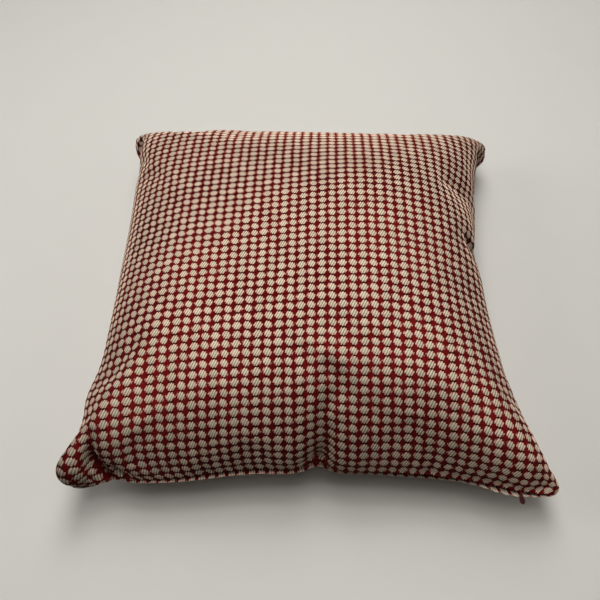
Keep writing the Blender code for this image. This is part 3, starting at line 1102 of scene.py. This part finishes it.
def cloth_finish(weave, mottle):
    """Woven cloth: cream ribbed dots on a dark red ground."""
    finish = bpy.data.materials.new("dotted cloth")
    finish.use_nodes = True
    tree = finish.node_tree
    shader = tree.nodes["Principled BSDF"]
    laid = add_node(tree, "ShaderNodeUVMap", uv_map="weave")
    masks = use_group(tree, weave, Place=laid.outputs["UV"])
    place = add_node(tree, "ShaderNodeTexCoord").outputs["Object"]
    mottled = use_group(tree, mottle, Place=place, Coarse=9.0, Fine=900.0)["Shade"]
    leaving = add_node(tree, "ShaderNodeLayerWeight")
    leaving.inputs["Blend"].default_value = 0.5
    side_on = step_up(tree, leaving.outputs["Facing"], *SIDE_ON)
    grazed = step_up(tree, leaving.outputs["Facing"], *GRAZED)
    front = mark(tree, "faces front")

    ground = ground_colour(tree, masks, mottled, front, side_on)
    colour = tint(tree, masks["Dot"], ground, dot_colour(tree, masks))
    # the seam's dark line, and painted shade in the creases
    colour = tint(tree, mark(tree, "seam line and crease shade"), colour, SEAM_LINE_AND_CREASE_SHADE)
    # painted shade in the zip's slit
    colour = tint(tree, mark(tree, "zip slit shade"), colour, SLIT_SHADE)
    colour = lit(tree, colour, cloth_shade(tree, masks, place, front, side_on, grazed))
    feed(tree, shader.inputs["Base Color"], colour)
    feed(tree, shader.inputs["Roughness"], mix(tree, masks["Dot"], 0.94, 0.86))
    shader.inputs["Sheen Weight"].default_value = 0.01
    shader.inputs["Sheen Roughness"].default_value = 0.5
    shader.inputs["Specular IOR Level"].default_value = 0.06

    raised = add_node(tree, "ShaderNodeBump")
    raised.inputs["Strength"].default_value = 0.8
    raised.inputs["Distance"].default_value = 0.001
    feed(tree, raised.inputs["Height"], masks["Height"])
    feed(tree, shader.inputs["Normal"], raised.outputs["Normal"])
    return finish


# The puller's enamel and the floor

ENAMEL_DEEP = rgb(84, 6, 20)
ENAMEL_CLEAR = rgb(104, 10, 28)
FLOOR_DULL = rgb(208, 206, 200)
FLOOR_PALE = rgb(213, 211, 205)


def enamel_finish(mottle):
    """Smooth dark red enamel on the puller."""
    finish = bpy.data.materials.new("puller enamel")
    finish.use_nodes = True
    tree = finish.node_tree
    shader = tree.nodes["Principled BSDF"]
    place = add_node(tree, "ShaderNodeTexCoord").outputs["Object"]
    shade = use_group(tree, mottle, Place=place, Coarse=220.0, Fine=2600.0)["Shade"]
    colour = tint(tree, step_up(tree, shade, 0.3, 0.7), ENAMEL_DEEP, ENAMEL_CLEAR)
    feed(tree, shader.inputs["Base Color"], colour)
    feed(tree, shader.inputs["Roughness"], mix(tree, shade, 0.38, 0.55))
    shader.inputs["Specular IOR Level"].default_value = 0.15
    return finish


def floor_finish(mottle):
    """Pale plain floor."""
    finish = bpy.data.materials.new("pale floor")
    finish.use_nodes = True
    tree = finish.node_tree
    shader = tree.nodes["Principled BSDF"]
    place = add_node(tree, "ShaderNodeTexCoord").outputs["Object"]
    shade = use_group(tree, mottle, Place=place, Coarse=1.5, Fine=30.0)["Shade"]
    colour = tint(tree, shade, FLOOR_DULL, FLOOR_PALE)
    feed(tree, shader.inputs["Base Color"], colour)
    shader.inputs["Roughness"].default_value = 0.7
    return finish


def dress(piece, finish):
    """Give a piece one material."""
    piece.data.materials.clear()
    piece.data.materials.append(finish)


# Surroundings

def make_floor(finish):
    """A wide floor under the cushion."""
    deselect()
    bpy.ops.mesh.primitive_plane_add(size=FLOOR_SIZE, location=(0.0, 0.0, 0.0))
    floor = bpy.context.object
    floor.name = "floor"
    dress(floor, finish)


def soft_light(name, place, size, power):
    """A square area light aimed at the cushion."""
    deselect()
    bpy.ops.object.light_add(type="AREA", location=place)
    light = bpy.context.object
    light.name = name
    light.rotation_euler = (-Vector(place)).to_track_quat("-Z", "Y").to_euler()
    light.data.size = size
    light.data.energy = power
    light.data.color = LIGHT_COLOUR


def light_room():
    """Soft light from behind and above, and a pale room that only the camera sees."""
    room = bpy.data.worlds.new("pale room")
    room.use_nodes = True
    tree = room.node_tree
    walls = tree.nodes["Background"]
    walls.inputs["Color"].default_value = LIGHT_COLOUR + (1.0,)
    seen = add_node(tree, "ShaderNodeLightPath").outputs["Is Camera Ray"]
    feed(tree, walls.inputs["Strength"], calc(tree, "MULTIPLY", seen, ROOM_BRIGHTNESS))
    bpy.context.scene.world = room
    for name, degrees_round, degrees_above, power in LIGHTS:
        around, above = math.radians(degrees_round), math.radians(degrees_above)
        place = (
            LIGHT_AWAY * math.sin(around) * math.cos(above),
            LIGHT_AWAY * math.cos(around) * math.cos(above),
            LIGHT_AWAY * math.sin(above),
        )
        soft_light(name, place, LIGHT_SIZE, power)


def make_camera():
    """The camera over the front seam, turned as the picture is."""
    back = Vector((
        math.sin(CAMERA_ROUND) * math.cos(CAMERA_ABOVE),
        -math.cos(CAMERA_ROUND) * math.cos(CAMERA_ABOVE),
        math.sin(CAMERA_ABOVE),
    ))
    right = Vector((math.cos(CAMERA_ROUND), math.sin(CAMERA_ROUND), 0.0))
    facing = Matrix((right, back.cross(right), back)).transposed()
    turned = facing @ Matrix.Rotation(-CAMERA_ROLL, 3, "Z")
    place = LOOK_AT + back * CAMERA_AWAY
    bpy.ops.object.camera_add(location=place, rotation=turned.to_euler())
    camera = bpy.context.object
    camera.data.sensor_width = FILM
    camera.data.lens = CAMERA_LENS
    bpy.context.scene.camera = camera


def main():
    """Dress the cushion and its puller, and give them their floor, light and camera."""
    weave = dotted_weave()
    mottle = soft_mottle()
    top, under = cushion_grids()
    cushion = make_cushion(top, under)
    dress(cushion, cloth_finish(weave, mottle))
    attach(cushion, "root")
    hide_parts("cushion")
    puller = make_puller(top)
    dress(puller, enamel_finish(mottle))
    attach(puller, "root")
    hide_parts("zip_pull")

    make_floor(floor_finish(mottle))
    light_room()
    make_camera()
    bpy.context.scene.view_settings.view_transform = "Standard"


main()
